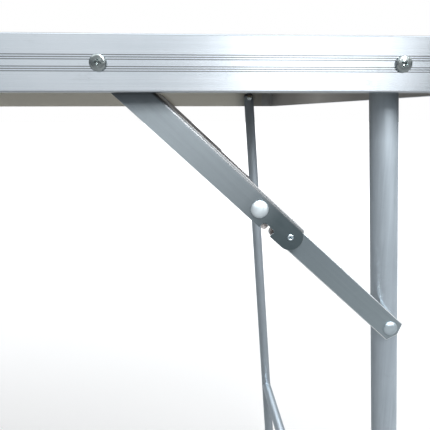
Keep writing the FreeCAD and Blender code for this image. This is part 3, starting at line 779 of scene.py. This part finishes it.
# ---- the stays -----------------------------------------------------------------------------------
def upper_arm_outline():
    """The upper arm as cut from flat sheet, before its edge is bent over."""
    half = UPPER_HALF
    edge = FOLD + BEND * BEND_TURN + FLANGE
    meet = math.degrees(math.asin(FOLD / half))
    start = FLANGE_GAP - RELIEF
    top = math.sqrt(half ** 2 - start ** 2)
    points = [(start - ARM, top)]
    points += arc((-ARM, 0), half, math.degrees(math.atan2(top, start)), 270, 24)[1:]
    near, far = NOTCH
    points += [(near, -half), (near, NOTCH_FLOOR - NOTCH_ROUND)]
    points += arc((near + NOTCH_ROUND, NOTCH_FLOOR - NOTCH_ROUND), NOTCH_ROUND, 180, 90, 8)[1:]
    points += arc((far - NOTCH_CORNER, NOTCH_FLOOR - NOTCH_CORNER), NOTCH_CORNER, 90, 0, 6)
    points += [(far, -half)]
    points += arc((NOSE, 0), half, -90, meet, 24)
    inset = edge - FLANGE_CORNER
    points += arc((FLANGE_END - FLANGE_CORNER, inset), FLANGE_CORNER, 0, 90, 5)
    points += arc((FLANGE_START + FLANGE_CORNER, inset), FLANGE_CORNER, 90, 180, 5)
    points += [(FLANGE_START, FOLD), (FLANGE_START - RELIEF, FOLD)]
    return points


def flat_sheet(outline, depth):
    """A face at one depth, looking outwards, from an outline of (x, z) points."""
    bm = bmesh.new()
    face = bm.faces.new([bm.verts.new((x, depth, z)) for x, z in outline])
    face.normal_update()
    if face.normal.y > 0:
        bmesh.ops.reverse_faces(bm, faces=bm.faces)
    return bm


def upper_arm_sheet():
    """The outer skin of the upper arm with its upper edge bent back."""
    bm = flat_sheet(upper_arm_outline(), UPPER_FACE)
    turn = BEND * BEND_TURN
    for i in range(BEND_STEPS + 1):
        everything = bm.verts[:] + bm.edges[:] + bm.faces[:]
        bmesh.ops.bisect_plane(bm, geom=everything, plane_co=(0, 0, FOLD + turn * i / BEND_STEPS),
                               plane_no=(0, 0, 1), dist=1e-5)
    for vert in bm.verts:
        past = vert.co.z - FOLD
        if past < 1e-5 or not FLANGE_START - 1e-4 < vert.co.x < FLANGE_END + 1e-4:
            continue
        angle = min(past, turn) / BEND
        straight = max(0.0, past - turn)
        vert.co.y = UPPER_FACE + BEND * (1 - math.cos(angle)) + straight * math.sin(BEND_TURN)
        vert.co.z = FOLD + BEND * math.sin(angle) + straight * math.cos(BEND_TURN)
    return on_stay(bm)


def lower_arm_sheet():
    """The lower arm: knee end, lock tab and slot, straight bar and blunt point."""
    half = LOWER_HALF
    shoulder = TIP - TIP_LENGTH
    tab, tab_drop = LOCK_TAB
    leave = math.degrees(math.asin(SLOT_FLOOR / KNEE_RADIUS))
    points = arc((0, 0), KNEE_RADIUS, 90, 360 + leave, 28)
    points += [(tab - LOCK_TAB_RADIUS, SLOT_FLOOR)]
    points += arc((tab, tab_drop), LOCK_TAB_RADIUS, 180, 360, 14)
    points += [(tab + LOCK_TAB_RADIUS, SLOT_FLOOR), (SLOT_END, SLOT_FLOOR)]
    points += arc((SLOT_END + SLOT_CORNER, -half + SLOT_CORNER), SLOT_CORNER, 180, 270, 8)
    points += [(shoulder, -half)]
    points += blunted((shoulder, -half), (TIP, 0), (shoulder, half), TIP_ROUND)
    points += [(shoulder, half), (SLOT_END, half)]
    return on_stay(flat_sheet(points, LOWER_FACE))


def blunted(before, corner, after, radius):
    """A rounded corner between two neighbours, as a short curve."""
    corner, ends = Vector(corner), [Vector(before), Vector(after)]
    first, last = [corner + (end - corner).normalized() * radius for end in ends]
    return [tuple((1 - t) ** 2 * first + 2 * t * (1 - t) * corner + t * t * last)
            for t in (0.0, 0.25, 0.5, 0.75, 1.0)]


def make_stays():
    sheets = {"upper": upper_arm_sheet(), "lower": lower_arm_sheet()}
    pip = domed(base=LOWER_FACE, shank_end=LOWER_FACE + 1.0, **LOCK_PIP)
    pip = on_stay(moved(pip, Matrix.Translation((LOCK_TAB[0], 0, LOCK_TAB[1]))))
    for quarter, across, along in QUARTERS:
        for part, sheet in sheets.items():
            node = quarter + "_" + part + "_arm"
            piece = add_piece(node + "_pressed", mirrored(sheet, across, along), node,
                              [MATERIALS["stay_" + part], MATERIALS["cut_edge_highlight"]], [node])
            thicken(piece)
        add_piece(quarter + "_lock_pip", mirrored(pip, across, along), quarter + "_lower_arm",
                  [MATERIALS["pip"]])
    for used in (*sheets.values(), pip):
        used.free()


# ---- the leg frames ------------------------------------------------------------------------------
def make_feet():
    """Ribbed rubber feet on the leg's axis, cut level with the floor."""
    length = PIVOT.z / MM / math.cos(LEAN)
    top = length - FOOT_HEIGHT
    stem = top - FOOT_PLUG
    rim = FOOT_RADIUS
    profile = [(0, stem), (6.3, stem), (6.7, stem + 1), (6.7, top), (rim - 0.5, top),
               (rim, top + 0.5)]
    for rib in range(FOOT_RIBS):
        start = top + 1.7 + RIB_PITCH * rib
        profile += [(rim, start), (rim - FOOT_RIB, start + 0.25), (rim - FOOT_RIB, start + 0.55),
                    (rim, start + 0.8)]
    # it runs on past the floor, and is cut level with it further down
    profile += [(rim, length + 6), (0, length + 6)]
    foot = turned(profile, 72)
    # the profile runs along +Y: stand it on end, pointing down the leg
    stand = Matrix.Rotation(math.radians(-90), 4, "X")
    foot = moved(foot, Matrix.Translation((0, TUBE_AXIS, 0)) @ stand)
    foot = put(foot, PIVOT, -LEAN)
    everything = foot.verts[:] + foot.edges[:] + foot.faces[:]
    cut = bmesh.ops.bisect_plane(foot, geom=everything, plane_co=(0, 0, 0), plane_no=(0, 0, -1),
                                 clear_outer=True)
    sole = [one for one in cut["geom_cut"] if isinstance(one, bmesh.types.BMEdge)]
    bmesh.ops.contextual_create(foot, geom=sole)
    bmesh.ops.recalc_face_normals(foot, faces=foot.faces)
    for side, across in SIDES:
        add_piece(side + "_feet_ribbed", on_both_legs(foot, across), side + "_leg_frame",
                  [MATERIALS["rubber"]], [side + "_feet"])
    foot.free()


def weld_bead(centre, leg_axis):
    """A rippled bead along the saddle where the crossbar meets the leg, in metres."""
    across = Vector((-leg_axis.z, 0, leg_axis.x))
    bm = bmesh.new()
    steps, sides = 120, 8
    path = []
    for i in range(steps):
        t = 2 * math.pi * i / steps
        radial = math.cos(t) * across + math.sin(t) * leg_axis
        reach = math.sqrt((TUBE_RADIUS * math.sin(t)) ** 2 + WELD_CLEAR ** 2)
        point = centre + MM * (TUBE_RADIUS - WELD_INSET) * radial + Vector((0, MM * reach, 0))
        path.append((point, radial))
    rings = []
    for i, (point, radial) in enumerate(path):
        ahead = (path[(i + 1) % steps][0] - path[i - 1][0]).normalized()
        side = ahead.cross(radial).normalized()
        out = side.cross(ahead)
        size = MM * (WELD_SIZE + WELD_RIPPLE * math.cos(2 * math.pi * i / 4))
        ring = [bm.verts.new(point + size * (math.cos(a) * out + math.sin(a) * side))
                for a in [2 * math.pi * k / sides for k in range(sides)]]
        rings.append(ring)
    for i, ring in enumerate(rings):
        after = rings[(i + 1) % steps]
        for k in range(sides):
            bm.faces.new((ring[k], ring[(k + 1) % sides], after[(k + 1) % sides], after[k]))
    bmesh.ops.recalc_face_normals(bm, faces=bm.faces)
    return bm


def make_welds():
    low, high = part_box("right_crossbar")
    centre = Vector(((low.x + high.x) / 2, FRONT + TUBE_AXIS * MM, (low.z + high.z) / 2))
    axis = Vector((math.sin(LEAN), 0, -math.cos(LEAN)))
    bead = weld_bead(centre, axis)
    for side, across in SIDES:
        add_piece(side + "_weld_beads", on_both_legs(bead, across), side + "_leg_frame",
                  [MATERIALS["weld"]])
    bead.free()


make_screws()
make_rivets()
make_stays()
make_feet()
make_welds()


# ---- studio --------------------------------------------------------------------------------------
ROOM_LOW = (0.16, 0.17, 0.18)
ROOM_HIGH = (0.62, 0.64, 0.66)
FLOOR_SEEN = 0.86         # how pale the floor looks
FLOOR_MIRRORED = 0.50     # how pale it is in reflections, as if it ended near the table
FLOOR_GLOW = 0.16         # light added to the floor near the table
FLOOR_FADE = (1.2, 3.5)   # m from the table's middle, over which the floor melts into the backdrop
FLOOR_REACH = 30.0        # m
OVERHEAD = (PIVOT.x - 0.3, -0.9, 3.2)     # m, middle of the big box above and before the table


def make_floor():
    """A pale floor that melts into the backdrop and can be seen through from below."""
    m = Nodes("studio_floor")
    mottle = m.ramp(m.noise(3.0), 0.3, 0.7)
    seen = m.blend(mottle, (FLOOR_SEEN,) * 3, (0.985 * FLOOR_SEEN,) * 3)
    ray = m.tree.nodes.new("ShaderNodeLightPath").outputs["Is Camera Ray"]
    m.colour(m.blend(ray, (FLOOR_MIRRORED,) * 3, seen))
    m.set(Roughness=0.8)
    far = m.tree.nodes.new("ShaderNodeVectorMath")
    far.operation = "LENGTH"
    m.link(m.place, far.inputs[0])
    glow = m.ramp(far.outputs["Value"], *FLOOR_FADE, FLOOR_GLOW, 1.0)
    m.link(m.math("MULTIPLY", ray, glow), m.shader.inputs["Emission Strength"])
    m.set(Emission_Color=(1.0, 1.0, 1.0, 1.0))
    clear = m.tree.nodes.new("ShaderNodeBsdfTransparent")
    either = m.tree.nodes.new("ShaderNodeMixShader")
    back = m.tree.nodes.new("ShaderNodeNewGeometry").outputs["Backfacing"]
    m.link(back, either.inputs[0])
    m.link(m.shader.outputs["BSDF"], either.inputs[1])
    m.link(clear.outputs["BSDF"], either.inputs[2])
    m.link(either.outputs["Shader"], m.output.inputs["Surface"])
    mesh = bpy.data.meshes.new("floor")
    corners = [(-1, -1), (1, -1), (1, 1), (-1, 1)]
    places = [(FLOOR_REACH * x, FLOOR_REACH * y, 0) for x, y in corners]
    mesh.from_pydata(places, [], [(0, 1, 2, 3)])
    mesh.materials.append(m.material)
    floor = bpy.data.objects.new("floor", mesh)
    bpy.context.scene.collection.objects.link(floor)


def softbox(name, place, target, size, power):
    light = bpy.data.lights.new(name, "AREA")
    light.shape = "RECTANGLE"
    light.size, light.size_y = size
    light.energy = power
    lamp = bpy.data.objects.new(name, light)
    lamp.location = place
    lamp.rotation_euler = (Vector(target) - Vector(place)).to_track_quat("-Z", "Y").to_euler()
    lamp.visible_camera = False
    bpy.context.scene.collection.objects.link(lamp)
    return lamp


def tall_light(name, azimuth, elevation, distance, size, power):
    """A softbox aimed at the near leg pivot, placed by its direction as seen from there."""
    across, up = math.radians(azimuth), math.radians(elevation)
    out = Vector((math.sin(across) * math.cos(up), -math.cos(across) * math.cos(up), math.sin(up)))
    return softbox(name, PIVOT + distance * out, PIVOT, size, power)


def collected(name, pieces):
    group = bpy.data.collections.new(name)
    for piece in pieces:
        group.objects.link(piece)
    return group


def only_for(lamp, group):
    """A light that is flagged off everything but one group."""
    lamp.light_linking.receiver_collection = group


def make_world():
    """White behind the table; a darker room, with a bright ceiling, is what lights and mirrors."""
    world = bpy.data.worlds.new("studio")
    world.use_nodes = True
    tree = world.node_tree
    background = tree.nodes["Background"]
    split = tree.nodes.new("ShaderNodeSeparateXYZ")
    direction = tree.nodes.new("ShaderNodeTexCoord").outputs["Generated"]
    tree.links.new(direction, split.inputs["Vector"])
    height = tree.nodes.new("ShaderNodeValToRGB")
    tree.links.new(split.outputs["Z"], height.inputs["Fac"])
    stops = height.color_ramp.elements
    stops[0].position, stops[0].color = 0.0, (*ROOM_LOW, 1.0)
    stops[1].position, stops[1].color = 0.75, (*ROOM_HIGH, 1.0)
    mix = tree.nodes.new("ShaderNodeMix")
    mix.data_type = "RGBA"
    colours = [socket for socket in mix.inputs if socket.type == "RGBA"]
    ray = tree.nodes.new("ShaderNodeLightPath").outputs["Is Camera Ray"]
    tree.links.new(ray, mix.inputs["Factor"])
    tree.links.new(height.outputs["Color"], colours[0])
    colours[1].default_value = (1.0, 1.0, 1.0, 1.0)
    tree.links.new([s for s in mix.outputs if s.type == "RGBA"][0], background.inputs["Color"])
    bpy.context.scene.world = world


def make_camera():
    ahead = math.cos(PITCH)
    forward = Vector((math.sin(YAW) * ahead, math.cos(YAW) * ahead, -math.sin(PITCH)))
    level = Vector((math.cos(YAW), -math.sin(YAW), 0.0))
    down = forward.cross(level)
    right = math.cos(ROLL) * level + math.sin(ROLL) * down
    up = math.sin(ROLL) * level - math.cos(ROLL) * down
    place = Vector((PIVOT.x + CAMERA_FROM_PIVOT, FRONT - CAMERA_BEFORE_RAIL,
                    RAIL_LOW.z - CAMERA_BELOW_RAIL))
    turn = Matrix((right, up, -forward)).transposed().to_4x4()
    camera = bpy.data.objects.new("camera", bpy.data.cameras.new("camera"))
    camera.data.lens = FOCAL_LENGTH
    camera.data.clip_start = 0.01
    camera.matrix_world = Matrix.Translation(place) @ turn
    bpy.context.scene.collection.objects.link(camera)
    bpy.context.scene.camera = camera


def make_lights():
    """An overhead box and two fills for everything; rails and other metal have their own."""
    softbox("overhead", OVERHEAD, (*OVERHEAD[:2], 0.0), size=(5.0, 5.0), power=80)
    tall_light("back_fill", azimuth=172.0, elevation=38.0, distance=3.4, size=(2.4, 1.2), power=30)
    tall_light("side_fill", azimuth=78.0, elevation=30.0, distance=3.0, size=(1.6, 1.0), power=8)

    names = ["front_rail", "back_rail", "left_rail", "right_rail", "corner_pieces"]
    rails = collected("rails", [frame["nodes"][name] for name in names])
    metalwork = collected("metalwork", [
        piece for piece in bpy.data.objects
        if piece.type == "MESH" and piece.name not in names + ["table_board", "floor"]])
    only_for(tall_light("high_strip", azimuth=15.0, elevation=41.0, distance=1.7,
                        size=(0.5, 1.3), power=88), metalwork)
    only_for(tall_light("rail_strip", azimuth=12.0, elevation=7.0, distance=1.7,
                        size=(0.54, 0.5), power=1.5), rails)
    only_for(tall_light("rail_fill", azimuth=-10.0, elevation=7.0, distance=2.6,
                        size=(1.7, 0.8), power=2.5), rails)


bpy.context.scene.view_settings.view_transform = "Standard"
make_world()
make_floor()
make_lights()
make_camera()
